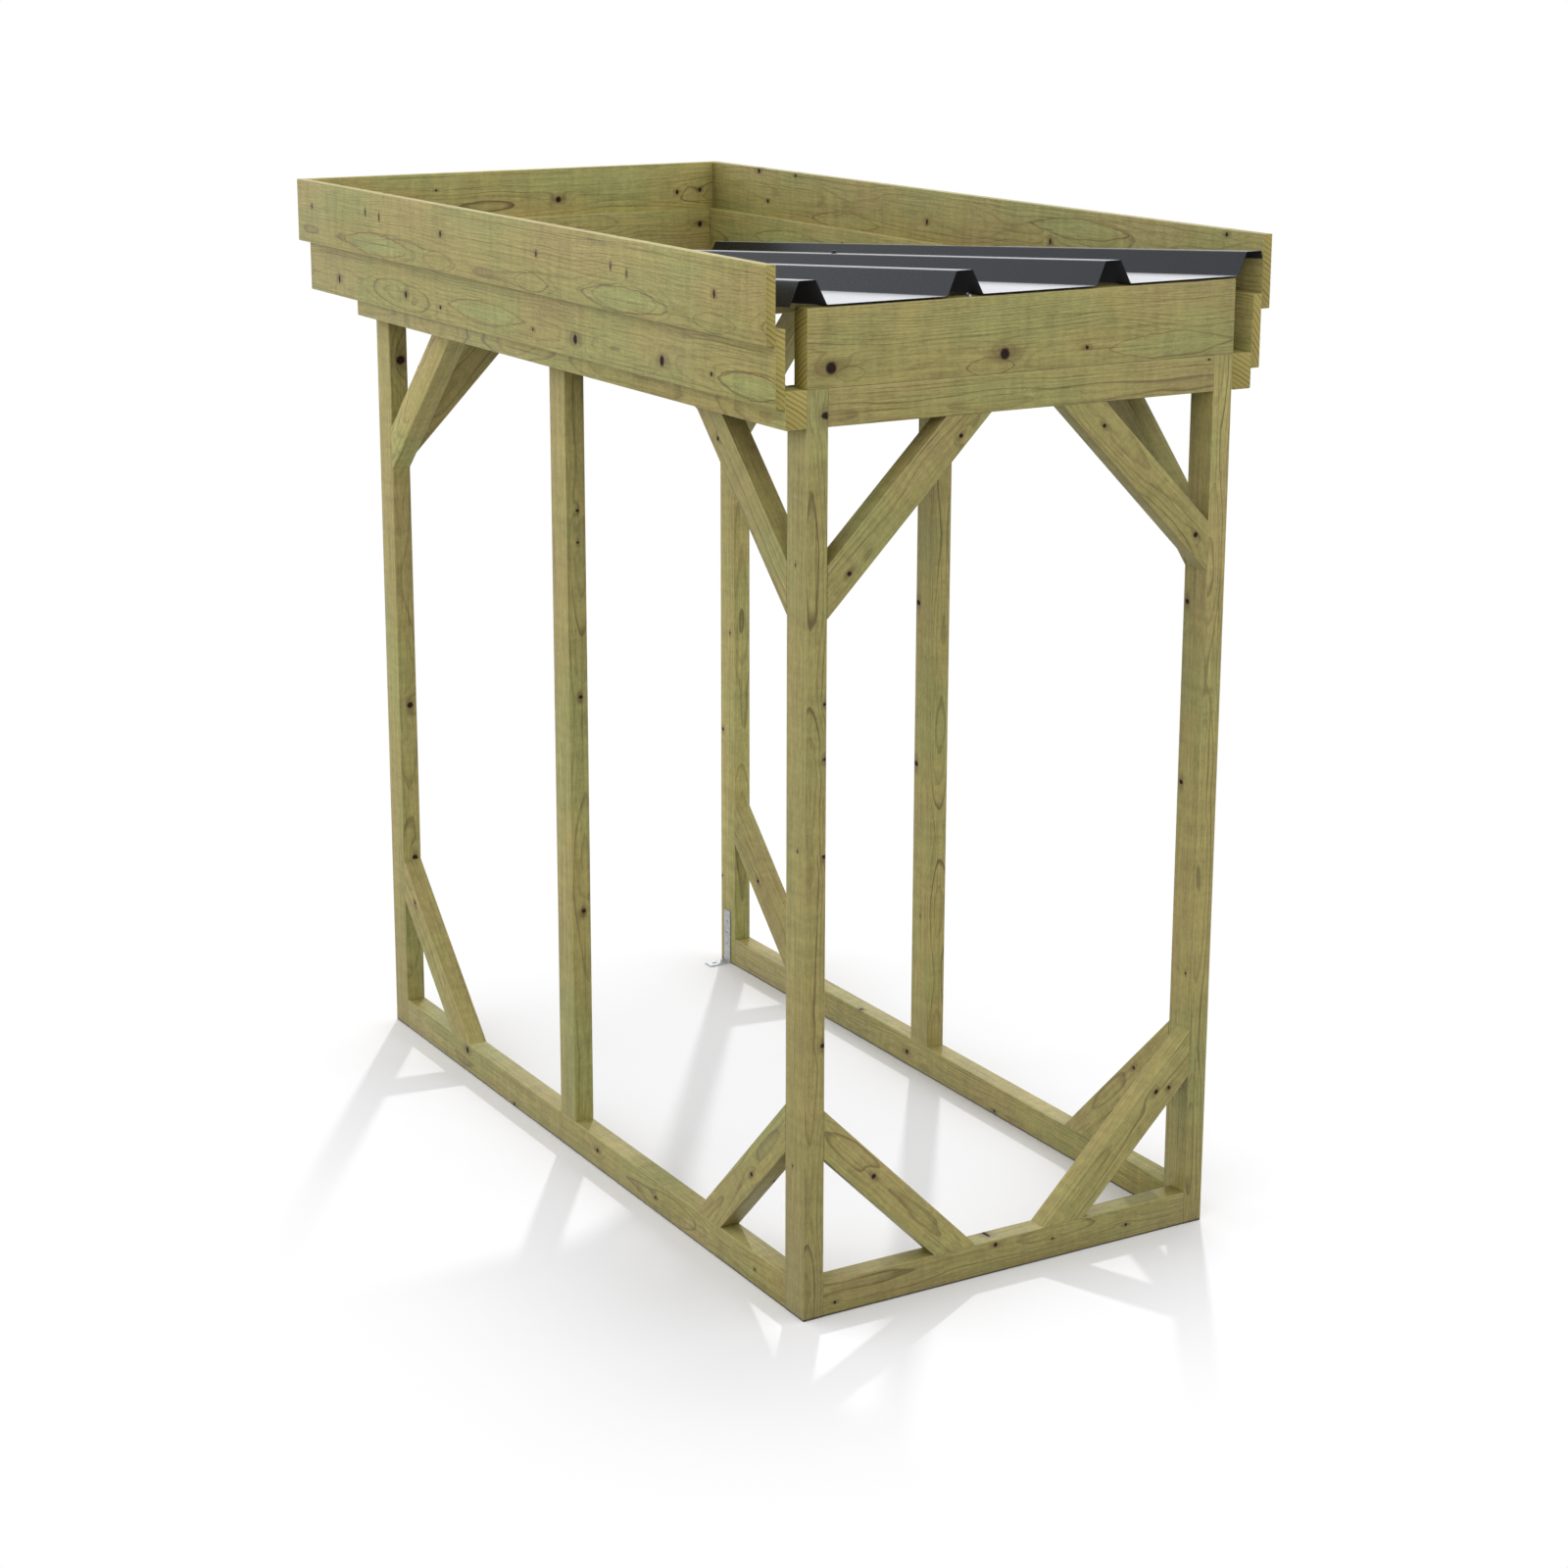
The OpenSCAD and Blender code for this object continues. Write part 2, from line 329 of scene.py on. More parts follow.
def treatedPine():
    made, tree, shader = newMaterial("treated_pine")
    grain = attribute(tree, "grain")
    height = Wire(tree, tree.nodes.new("ShaderNodeTexCoord").outputs["Object"]).xyz()[2]
    x, y, z = grain.xyz()
    knot = knotField(tree, grain)
    oval = ovalField(tree, grain)
    late, slow, curl = yearRings(grain, knot, oval)
    fibre = grain.pack(x * 16.0, y * 560.0, z * 560.0).noise(1.0, 3.0, 0.65) - 0.5
    streak = grain.pack(x * 4.0, y * 190.0, z * 190.0).noise(1.0, 3.0, 0.62) - 0.5
    face = longFace(grain, oval, late, slow, fibre, streak)
    face = face.mix(attribute(tree, "cutEnd", "Fac"), sawnEnd(grain, curl))

    # a knot has a dark rim and core, with a brown stain along the fibres
    stain = knot["has"] * (1.0 - (knot["swirl"] / (knot["size"] * 2.6 + 0.0001)).step(0.25, 1.0))
    rim = knot["has"] * (1.0 - knot["share"].step(1.05, 1.42))
    core = knot["has"] * (1.0 - knot["share"].step(0.80, 1.12))
    face = face.mix(stain * pineShare["stain"], pineLook["knotRim"])
    face = face.mix(rim * pineShare["rim"], pineLook["knotRim"])
    face = face.mix(core * pineShare["core"], pineLook["knot"])

    # the eased arrises are made paler, a painted highlight; a painted contact shade darkens the feet; each
    # timber has a tone of its own, for some of them painted light
    # painted highlight: a pale colour laid along the eased arrises, broken up by noise
    highlightBreakup = grain.pack(x * 30.0, y * 40.0, z * 40.0).noise(1.0, 2.0)
    edgeHighlightMask = attribute(tree, "eased", "Fac") * (0.35 + 0.65 * highlightBreakup)
    face = face.mix(edgeHighlightMask * pineShare["paintedEdgeHighlight"], pineLook["paintedEdgeHighlight"])
    # painted contact shade: a near-black line in the lowest few millimetres where the timber meets the
    # floor, and a slight darkening towards the bottom
    paintedContactShade = (1.0 - height.step(*pineLook["contactShadeHeight"])) * pineShare["paintedContactShade"]
    paintedContactShade = paintedContactShade + (1.0 - height.step(*pineLook["nearFloorDarkeningHeight"])) * pineShare["nearFloorDarkening"]
    face = face.mix(paintedContactShade, pineLook["knot"])
    # the tone also carries painted light: some listed timbers are made paler to lift them out of the shade
    # they stand in
    tone = attribute(tree, "tone", "Fac")
    face = face.mix(1.0, grain.pack(tone, tone, tone * 0.98), "MULTIPLY")

    relief = fibre * 0.5 + streak * 0.5 - late * 0.22 - core * 0.35
    bumps = relief.node("ShaderNodeBump", Strength=0.42, Distance=0.0009, Height=relief)
    feed(tree, shader, Base_Color=face, Roughness=0.56 - late * 0.08 + fibre * 0.12 + core * 0.30,
         Normal=bumps, IOR=1.4)
    return made


sheetLook = {"coat": (0.0075, 0.0105, 0.0145), "backing": (0.032, 0.031, 0.036),
             "dust": (0.060, 0.063, 0.066), "paintedGlare": (0.77, 0.775, 0.81),
             "flatPaintedGlare": 0.84, "ribLess": 0.34, "roughness": 0.27, "bend": 0.0022, "thickness": 0.001}


def coatedSteel():
    made, tree, shader = newMaterial("anthracite_coating")
    place = Wire(tree, tree.nodes.new("ShaderNodeTexCoord").outputs["Object"])
    up = Wire(tree, tree.nodes.new("ShaderNodeNewGeometry").outputs["Normal"]).xyz()[2]
    x, y, z = place.xyz()
    cloud = place.noise(5.0, 4.0, 0.6)
    runs = place.pack(x * 60.0, y * 2.5, z * 8.0).noise(1.0, 3.0, 0.6)
    fleck = place.noise(420.0, 2.0, 0.6)
    dust = up.step(0.55, 0.98) * (cloud.step(0.42, 0.75) * 0.55 + runs.step(0.55, 0.80) * 0.40)
    onRib = attribute(tree, "onRib", "Fac")
    under = 1.0 - up.step(-0.10, 0.02)  # the side towards the ground has a thin dull backing coat
    skin = place.colour(sheetLook["coat"])
    skin = skin.mix(dust * 0.45, sheetLook["dust"]).mix(under, sheetLook["backing"])
    skin = skin.shaded(0.92 + fleck * 0.16)
    peel = fleck * 0.3 + place.noise(90.0, 2.0) * 0.7
    rough = sheetLook["roughness"] + dust * 0.16 + (fleck - 0.5) * 0.08 + under * 0.6
    dimples = peel.node("ShaderNodeBump", Strength=0.08, Distance=0.0004, Height=peel)
    feed(tree, shader, Base_Color=skin, Roughness=rough, IOR=1.35, Specular_Tint=(0.84, 0.90, 1.0, 1.0),
         Sheen_Weight=0.1, Sheen_Roughness=0.22, Sheen_Tint=(0.86, 0.92, 1.0, 1.0), Normal=dimples)
    # painted reflection: a pale diffuse is mixed onto the level parts when they are seen from very low, in
    # place of the sky they would reflect, with less of it on the crests
    low = place.node("ShaderNodeLayerWeight", out=1, Blend=0.5).step(0.84, 0.94) * up.step(0.7, 0.96)
    paintedGlare = place.node("ShaderNodeBsdfDiffuse", Color=(*sheetLook["paintedGlare"], 1))
    share = low * (sheetLook["flatPaintedGlare"] - sheetLook["ribLess"] * onRib)
    blend = place.node("ShaderNodeMixShader", i0=share, i1=Wire(tree, shader.outputs[0]), i2=paintedGlare)
    tree.links.new(blend.socket, tree.nodes["Material Output"].inputs["Surface"])
    return made


zincLook = {"bright": (0.46, 0.47, 0.48), "dull": (0.28, 0.29, 0.30), "spangle": 160.0}


def galvanised():
    made, tree, shader = newMaterial("galvanised_steel")
    place = Wire(tree, tree.nodes.new("ShaderNodeTexCoord").outputs["Object"])
    cells = place.node("ShaderNodeTexVoronoi", i0=place, Scale=zincLook["spangle"], out=1).xyz()[0]
    haze = place.noise(40.0, 3.0, 0.6)
    skin = place.colour(zincLook["bright"])
    skin = skin.mix(cells * 0.45 + haze.step(0.45, 0.75) * 0.35, zincLook["dull"])
    feed(tree, shader, Base_Color=skin, Metallic=0.9, Roughness=0.36 + cells * 0.14 + haze * 0.12,
         Normal=haze.node("ShaderNodeBump", Strength=0.12, Distance=0.0003, Height=haze))
    return made


pine = treatedPine()
steelCoat = coatedSteel()
zinc = galvanised()
print("materials ready")


timberCut = {
    "frameEase": 0.0022,          # rounding of the long edges of the framing
    "boardEase": 0.0014,          # rounding of the long edges of the boards
    "endEase": 0.0005,
    "knotSpacing": (0.20, 0.44),
    "firstKnot": (0.06, 0.26),    # from the end of the timber
    "lastKnot": 0.05,
    "knotInset": 0.012,           # from the edges of the wide face
    "knotLean": 1.1,
    "knotRadius": (0.0020, 0.0075),
    "braceKnot": ((0.2, 0.8), (0.25, 0.75), (2.4, 5.0)),
    "braceLean": 0.5,
    "branchSlant": 0.12,
    "pithDepth": (0.045, 0.095),
    "pithAside": 0.35,            # share of the width
    "braceAside": 0.3,
    "braceHalf": 0.022,
    "braceSpare": 0.02,           # cut off at the ends
    "grainShift": 30,             # so that no two timbers show the same grain
    "tone": (0.95, 1.05),
}


def addBlock(name, low, high):
    bpy.ops.mesh.primitive_cube_add(size=1, location=(low + high) / 2)
    block = bpy.context.object
    block.name = name
    block.scale = high - low
    settle(block)
    return block


def easeEdges(block, way, size, segments):  # rounds the edges that run along way
    def runsAlong(start, end):
        return abs((end - start).normalized().dot(way)) > 0.999
    selectEdges(block, runsAlong)
    editing(block)
    bpy.ops.mesh.bevel(offset=size, offset_type="OFFSET", segments=segments, affect="EDGES")
    done()


def easeEnds(block, way, size):  # breaks the sharp edges of the sawn ends
    places = [vertex.co.dot(way) for vertex in block.data.vertices]
    low, high = min(places), max(places)

    def atEnd(start, end):
        here = (start.dot(way), end.dot(way))
        return max(here) - low < 1e-5 or high - min(here) < 1e-5
    selectEdges(block, atEnd)
    editing(block)
    bpy.ops.mesh.bevel(offset=size, offset_type="OFFSET", segments=1, affect="EDGES")
    done()


def sliceAt(block, way, places):  # rings of edges between the knots, so that each stretch knows its own
    editing(block)
    for place in places:
        bpy.ops.mesh.select_all(action="SELECT")
        bpy.ops.mesh.bisect(plane_co=way * place, plane_no=way)
    done()


def cutAway(block, place, normal):  # what lies beyond the plane goes, and the cut is closed
    editing(block)
    bpy.ops.mesh.select_all(action="SELECT")
    bpy.ops.mesh.bisect(plane_co=place, plane_no=normal, use_fill=True, clear_outer=True)
    done()


def grainOf(block, way, wide, thin, pith, shift, ends):
    mesh = block.data
    paint(block, "grain", "FLOAT_VECTOR", [
        (vertex.co.dot(way) + shift, vertex.co.dot(wide) - pith[0], vertex.co.dot(thin) - pith[1])
        for vertex in mesh.vertices], "POINT")
    paint(block, "cutEnd", "FLOAT", [
        1.0 if any(abs(face.normal.dot(end)) > 0.97 for end in ends) else 0.0 for face in mesh.polygons])
    paint(block, "eased", "FLOAT", [
        1.0 if max(abs(face.normal.dot(side)) for side in (way, wide, thin, *ends)) < 0.985 else 0.0
        for face in mesh.polygons])


def knotsOf(block, way, wide, thin, pith, shift, knots):
    faces = block.data.polygons
    nearest = []
    for face in faces:
        here = face.center.dot(way)
        nearest.append(min(knots, key=lambda knot: abs(knot["at"] - here)) if knots else None)
    paint(block, "knotPlace", "FLOAT_VECTOR", [
        (knot["at"] + shift, knot["wide"] - pith[0], knot["thin"] - pith[1]) if knot else (0, 0, 0)
        for knot in nearest])
    paint(block, "knotWay", "FLOAT_VECTOR", [tuple(knot["way"]) if knot else (0, 1, 0) for knot in nearest])
    paint(block, "knotSize", "FLOAT", [knot["size"] if knot else 0.0 for knot in nearest])


# knots that stand out: share of the length from the left, near or lower end, share of the width from
# the bottom or the near side, radius in millimetres, lean of the branch
markedKnots = {
    "purlin_high": ((0.052, 0.25, 10.0, 0.2), (0.443, 0.25, 9.5, 0.3), (0.637, 0.25, 3.6, 0.1)),
    "upper_board_left": ((0.085, 0.52, 2.8, 1.1), (0.240, 0.55, 1.8, 1.3), (0.270, 0.61, 1.8, 1.3),
                         (0.418, 0.57, 2.8, 1.1), (0.630, 0.57, 3.2, 1.0), (0.780, 0.64, 1.8, 1.3),
                         (0.815, 0.68, 1.8, 1.3), (0.960, 0.60, 2.4, 1.1)),
    "lower_board_left": ((0.107, 0.25, 3.2, 0.5), (0.195, 0.26, 7.4, 0.6), (0.362, 0.26, 7.4, 0.6),
                         (0.450, 0.25, 2.8, 0.4), (0.660, 0.23, 3.4, 0.4), (0.745, 0.29, 5.0, 0.8),
                         (0.920, 0.28, 4.2, 1.0)),
    "upper_board_low": ((0.30, 0.72, 2.4, 0.4), (0.60, 0.47, 6.0, 0.5), (0.905, 0.50, 3.2, 0.9),
                        (0.965, 0.52, 3.2, 0.9)),
    "lower_board_low": ((0.22, 0.45, 2.6, 0.6), (0.55, 0.60, 3.0, 0.4), (0.972, 0.74, 5.4, 0.6)),
    "upper_board_right": ((0.052, 0.93, 3.8, 0.3), (0.322, 0.48, 3.4, 1.0), (0.540, 0.50, 3.4, 0.9),
                          (0.805, 0.95, 3.4, 0.3), (0.865, 0.46, 3.8, 0.5), (0.885, 0.95, 5.0, 0.4)),
    "top_beam_high": ((0.985, 0.90, 1.6, 0.2),),
    "top_beam_left": ((0.985, 0.60, 1.6, 0.2),),
    "post_high_left": ((0.17, 0.60, 2.0, 0.3), (0.52, 0.40, 2.2, 0.4), (0.82, 0.55, 2.0, 0.3)),
    "post_high_right": ((0.30, 0.30, 2.2, 0.3), (0.519, 0.82, 4.6, 0.4), (0.725, 0.82, 5.0, 0.4)),
    "post_mid_right": ((0.18, 0.50, 2.0, 0.3), (0.388, 0.86, 6.0, 0.4), (0.606, 0.86, 6.0, 0.4)),
    "sill_high": ((0.030, 0.35, 2.6, 0.3), (0.460, 0.85, 3.8, 0.3), (0.62, 0.60, 2.0, 0.5),
                  (0.830, 0.45, 3.0, 0.3)),
}
# the same on the narrow face of a post: share of the height, share of the thickness, radius, lean
narrowKnots = {
    "post_low_left": ((0.238, 0.66, 5.6, 0.3), (0.448, 0.62, 6.4, 0.3), (0.905, 0.62, 9.0, 0.4)),
    "post_high_left": ((0.309, 0.93, 4.0, 0.9), (0.515, 0.93, 3.6, 0.9), (0.619, 0.93, 3.2, 0.9),
                       (0.677, 0.90, 2.6, 0.6), (0.973, 0.94, 6.0, 1.0)),
    "post_mid_left": ((0.277, 0.62, 4.2, 0.4), (0.551, 0.62, 3.8, 0.4), (0.743, 0.58, 2.8, 0.4),
                      (0.782, 0.58, 3.2, 0.4)),
}
braceKnots = {  # from the end on the beam or sill
    "top_brace_high_left_end": ((0.15, 0.30, 3.6, 0.3), (0.82, 0.35, 4.0, 0.3)),
    "top_brace_high_right_end": ((0.20, 0.50, 3.4, 0.3), (0.85, 0.45, 4.6, 0.3)),
    "top_brace_low_left_side": ((0.50, 0.95, 1.6, 0.1),),
    "foot_brace_high_right_end": ((0.72, 0.35, 4.2, 0.3), (0.77, 0.65, 3.6, 0.3)),
    "foot_brace_high_left_end": ((0.62, 0.45, 4.2, 0.3),),
}
# ovals in the same shares, then half the length and half the width in millimetres, dip in rings, green
ovals = {
    "upper_board_left": ((0.085, 0.15, 85, 19, 1.1, 0.0), (0.245, 0.19, 205, 25, 1.3, 0.8),
                         (0.430, 0.15, 85, 20, 1.2, 0.1), (0.640, 0.16, 85, 20, 1.1, 0.0),
                         (0.790, 0.20, 205, 25, 1.3, 0.8)),
    "lower_board_left": ((0.040, 0.22, 140, 24, 1.2, 0.7), (0.555, 0.32, 205, 24, 1.3, 0.8)),
    "upper_board_right": ((0.275, 0.72, 186, 22, 1.2, 0.5), (0.700, 0.30, 160, 22, 1.2, 0.3)),
    "lower_board_right": ((0.300, 0.40, 170, 22, 1.2, 0.4), (0.810, 0.66, 186, 24, 1.2, 0.6)),
    "purlin_high": ((0.095, 0.16, 36, 15, 1.0, 0.0), (0.410, 0.10, 60, 18, 1.0, 0.0),
                    (0.840, 0.20, 165, 24, 1.3, 0.5)),
}
# where the pith lies behind a board: share across, depth in millimetres
hearts = {"upper_board_left": (0.19, 84), "lower_board_left": (0.28, 84), "upper_board_right": (0.62, 95),
          "lower_board_right": (0.50, 100), "purlin_high": (0.18, 78)}
# timbers that are paler or darker than the rest: partly real differences in the stock, partly painted light
# that lifts timbers standing in the shade of the roof and boards
stockToneAndPaintedLight = {"lower_board_left": 1.08, "upper_board_left": 1.07, "top_beam_left": 1.12,
             "upper_board_low": 1.26, "lower_board_low": 1.22, "upper_board_right": 0.97,
             "lower_board_right": 1.08, "sill_high": 0.87, "sill_left": 0.93,
             "top_brace_low_left_side": 1.34, "top_brace_low_left_end": 1.26,
             "post_high_left": 0.97, "post_mid_left": 1.12, "post_low_left": 1.14,
             "post_mid_right": 1.17, "post_high_right": 1.05, "post_low_right": 1.34}


def branch(tilt):  # the way of a branch in a timber's own axes: along, wide, thin
    slant = timberCut["branchSlant"]
    return Vector((dice.uniform(-slant, slant), math.sin(tilt), math.cos(tilt))).normalized()


def markedKnot(mark, start, length, wideStart, wideSize, thinStart):
    share, across, radius, lean = mark
    return {"at": start + share * length, "wide": wideStart + across * wideSize, "thin": thinStart,
            "way": branch(lean), "size": radius / 1000}


def narrowKnot(mark, start, length, wideStart, thinStart, thinSize):
    share, across, radius, lean = mark
    return {"at": start + share * length, "wide": wideStart, "thin": thinStart + across * thinSize,
            "way": branch(math.pi / 2 - lean), "size": radius / 1000}


def paintOvals(block, name, low, size, way, wide, pith, shift):
    start, length = low.dot(way), size.dot(way)
    shapes = [(start + share * length, low.dot(wide) + across * size.dot(wide), *shape)
              for share, across, *shape in ovals[name]]
    places, sizes = [], []
    for face in block.data.polygons:
        here = face.center.dot(way)
        at, height, long, broad, rings, green = min(shapes, key=lambda shape: abs(shape[0] - here))
        places.append((at + shift, height - pith[0], green))
        sizes.append((long / 1000, broad / 1000, rings * pineLook["ringGap"]))
    paint(block, "ovalPlace", "FLOAT_VECTOR", places)
    paint(block, "ovalShape", "FLOAT_VECTOR", sizes)


def knotRadius():  # most knots are small
    small, big = timberCut["knotRadius"]
    return small + (big - small) * dice.random() ** 2.2


def randomKnots(low, high, widePlaces, thinPlaces):
    knots = []
    lean = timberCut["knotLean"]
    place = low + dice.uniform(*timberCut["firstKnot"])
    while place < high - timberCut["lastKnot"]:
        knots.append({"at": place, "wide": dice.uniform(*widePlaces), "thin": sum(thinPlaces) / 2,
                      "way": branch(dice.uniform(-lean, lean)), "size": knotRadius()})
        place += dice.uniform(*timberCut["knotSpacing"])
    return knots


def timberKnots(name, low, high, way, wide, thin):
    size = high - low
    start, length = low.dot(way), size.dot(way)
    knots = [markedKnot(mark, start, length, low.dot(wide), size.dot(wide), low.dot(thin))
             for mark in markedKnots.get(name, ())]
    knots += [narrowKnot(mark, start, length, low.dot(wide), low.dot(thin), size.dot(thin))
              for mark in narrowKnots.get(name, ())]
    if not knots:
        inset = timberCut["knotInset"]
        knots = randomKnots(start, start + length, (low.dot(wide) + inset, high.dot(wide) - inset),
                            (low.dot(thin), high.dot(thin)))
    return sorted(knots, key=lambda knot: knot["at"])


def pithOf(name, size, wide, thin):  # from the middle of the timber: across it, and through it
    heart = (size.dot(thin) / 2 + dice.uniform(*timberCut["pithDepth"])) * dice.choice((-1, 1))
    aside = dice.uniform(-timberCut["pithAside"], timberCut["pithAside"])
    if name in hearts:
        across, depth = hearts[name]
        return (across - 0.5) * size.dot(wide), math.copysign(depth / 1000, heart)
    if "post" in name:  # posts are sawn so that the arches show on their narrow faces
        return -abs(heart) - size.dot(thin) / 4, aside * size.dot(thin)
    return aside * size.dot(wide), heart


def between(places):
    return [(one + other) / 2 for one, other in zip(places, places[1:])]


def timber(name, ease):
    low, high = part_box(name)
    size = high - low
    order = sorted("xyz", key=lambda letter: -getattr(size, letter))
    way, wide, thin = (along[letter] for letter in order)
    block = addBlock("pine_" + name, low, high)
    easeEdges(block, way, ease, 3)
    easeEnds(block, way, timberCut["endEase"])
    knots = timberKnots(name, low, high, way, wide, thin)
    figures = [low.dot(way) + oval[0] * size.dot(way) for oval in ovals.get(name, ())]
    sliceAt(block, way, between([knot["at"] for knot in knots]) + between(figures))
    middle = (low + high) / 2
    across, through = pithOf(name, size, wide, thin)
    pith = (middle.dot(wide) + across, middle.dot(thin) + through)
    shift = dice.uniform(-timberCut["grainShift"], timberCut["grainShift"])
    grainOf(block, way, wide, thin, pith, shift, (way,))
    knotsOf(block, way, wide, thin, pith, shift, knots)
    if name in ovals:
        paintOvals(block, name, low, size, way, wide, pith, shift)
    finishTimber(block, name)


def finishTimber(block, name):
    tone = stockToneAndPaintedLight.get(name, dice.uniform(*timberCut["tone"]))
    paint(block, "tone", "FLOAT", [tone] * len(block.data.polygons))
    pick(block)
    bpy.ops.object.shade_smooth_by_angle(angle=math.radians(50))
    addToPart(block, "pine", pine, name)


postLow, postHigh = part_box("post_high_left")
frameTimber = {"wide": postHigh.y - postLow.y, "thin": postHigh.x - postLow.x}


def turnTo(xWay, yWay):
    zWay = xWay.cross(yWay)
    return Matrix((xWay, yWay, zWay)).transposed().to_quaternion()


def braceBlock(name, middle, inward, way, length):
    bpy.ops.mesh.primitive_cube_add(size=1, location=middle)
    block = bpy.context.object
    block.name = "pine_" + name
    block.scale = (frameTimber["wide"], length, frameTimber["thin"])
    block.rotation_mode = "QUATERNION"
    block.rotation_quaternion = turnTo(inward, way)
    settle(block)
    easeEdges(block, way, timberCut["frameEase"], 3)
    return block


def brace(name):
    low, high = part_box(name)
    words = name.split("_")
    onSide = words[-1] == "side"
    side, thin = (along["y"], along["x"]) if onSide else (along["x"], along["y"])
    lowCorner = ("high" if onSide else "left") in words
    sideSign = -1 if lowCorner else 1             # where the joined post stands
    upSign = 1 if words[0] == "top" else -1       # where the joined beam or sill lies
    inward = (side * sideSign + along["z"] * upSign).normalized()
    way = (side * sideSign - along["z"] * upSign).normalized()
    width = frameTimber["wide"]
    span = (high - low).dot(side) * math.sqrt(2)
    centre = (low + high) / 2 + inward * width / 2
    block = braceBlock(name, centre, inward, way, span + timberCut["braceSpare"])
    sideEnd = low.dot(side) if lowCorner else high.dot(side)
    upEnd = high.z if upSign > 0 else low.z
    cutAway(block, side * sideEnd, side * sideSign)
    cutAway(block, along["z"] * upEnd, along["z"] * upSign)
    aside = timberCut["braceAside"]
    pith = (centre.dot(inward) + dice.uniform(-aside, aside) * width,
            centre.dot(thin) + dice.choice((-1, 1)) * (timberCut["braceHalf"]
                                                       + dice.uniform(*timberCut["pithDepth"])))
    shift = dice.uniform(-timberCut["grainShift"], timberCut["grainShift"])
    marks = braceKnots.get(name)
    if not marks:
        marks = ((*(dice.uniform(*ends) for ends in timberCut["braceKnot"]), timberCut["braceLean"]),)
    start, wideStart = centre.dot(way) - span / 2, centre.dot(inward) - width / 2
    knots = [markedKnot(mark, start, span, wideStart, width, low.dot(thin)) for mark in marks]
    sliceAt(block, way, between([knot["at"] for knot in knots]))
    grainOf(block, way, inward, thin, pith, shift, (side, along["z"]))
    knotsOf(block, way, inward, thin, pith, shift, knots)
    finishTimber(block, name)


timbers = [name for name in sorted(nodes) if not name.startswith(("roof", "anchor"))]
for name in timbers:
    if "brace" in name:
        brace(name)
    elif "board" in name:
        timber(name, timberCut["boardEase"])
    else:
        timber(name, timberCut["frameEase"])
print(len(timbers), "timbers cut")


sheetCut = {
    "upward": 0.02,          # how far up a face of the upper skin looks at the least
    "level": 0.9,            # the same for the pans and the crests
    "crestSlack": 0.01,
    "sharp": 12,             # degrees, for an edge that is bent round
    "longShare": 0.3,        # of the sheet's length, for such an edge at the least
}


def copyOf(node, name):
    piece = nodes[node].copy()
    piece.data = nodes[node].data.copy()
    piece.name = name
    for key in list(piece.keys()):
        del piece[key]
    piece.parent = None
    bpy.context.scene.collection.objects.link(piece)
    return piece


def keepUpperSkin(sheet):  # the thickness comes back at the end
    editing(sheet, "VERT")
    bpy.ops.mesh.select_all(action="SELECT")
    bpy.ops.mesh.remove_doubles(threshold=0.00001)
    done()
    mesh = sheet.data
    dropSelection(mesh)
    for face in mesh.polygons:
        face.select = face.normal.z < sheetCut["upward"] or abs(face.normal.y) > 0.5
    editing(sheet, "FACE")
    bpy.ops.mesh.delete(type="FACE")
    bpy.ops.mesh.select_all(action="SELECT")
    bpy.ops.mesh.dissolve_limited(angle_limit=math.radians(1))
    done()


def roundBends(sheet):
    mesh = sheet.data
    low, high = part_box("roof_sheet")
    bendLength = (high.y - low.y) * sheetCut["longShare"]
    sides = {}
    for face in mesh.polygons:
        for key in face.edge_keys:
            sides.setdefault(key, []).append(face)

    def bent(start, end, faces):
        if len(faces) != 2 or abs(end.y - start.y) <= bendLength:
            return False
        return faces[0].normal.angle(faces[1].normal) > math.radians(sheetCut["sharp"])
    dropSelection(mesh)
    for edge in mesh.edges:
        start, end = (mesh.vertices[i].co for i in edge.vertices)
        edge.select = bent(start, end, sides[edge.key])
    editing(sheet)
    bpy.ops.mesh.bevel(offset=sheetLook["bend"], offset_type="OFFSET", segments=3, affect="EDGES")
    done()


def roofSheet():
    sheet = copyOf("roof_sheet", "profiled_sheet")
    keepUpperSkin(sheet)
    flats = [face for face in sheet.data.polygons if face.normal.z > sheetCut["level"]]
    slope = flats[0].normal.copy()
    crestLift = max(face.center.dot(slope) for face in flats)

    def onCrestOf(face):
        return face.center.dot(slope) > crestLift - sheetCut["crestSlack"]
    crestPlaces = sorted(face.center.x for face in flats if onCrestOf(face))
    roundBends(sheet)
    thickness = sheet.modifiers.new("thickness", "SOLIDIFY")
    thickness.thickness = sheetLook["thickness"]
    thickness.offset = -1
    thickness.use_even_offset = True
    pick(sheet)
    bpy.ops.object.modifier_apply(modifier="thickness")
    paint(sheet, "onRib", "FLOAT", [1.0 if onCrestOf(face) else 0.0 for face in sheet.data.polygons])
    bpy.ops.object.shade_smooth_by_angle(angle=math.radians(35))
    addToPart(sheet, "steel_sheet", steelCoat, "roof_sheet")
    return crestPlaces, slope, crestLift


crestPlaces, slope, crestLift = roofSheet()
print("sheet bent")

screwSize = {"washer": 0.0065, "washerHeight": 0.0014, "hex": 0.0044, "hexHeight": 0.0046,
             "dome": 0.0037, "domeHeight": 0.0055,
             "purlinPlaces": ((0.365, 0.008), (0.383, 0.041))}  # share of its length, metres from its front


def addDisc(sides, radius, low, height):
    middle = (0, 0, low + height / 2)
    bpy.ops.mesh.primitive_cylinder_add(vertices=sides, radius=radius, depth=height, location=middle)
    return bpy.context.object


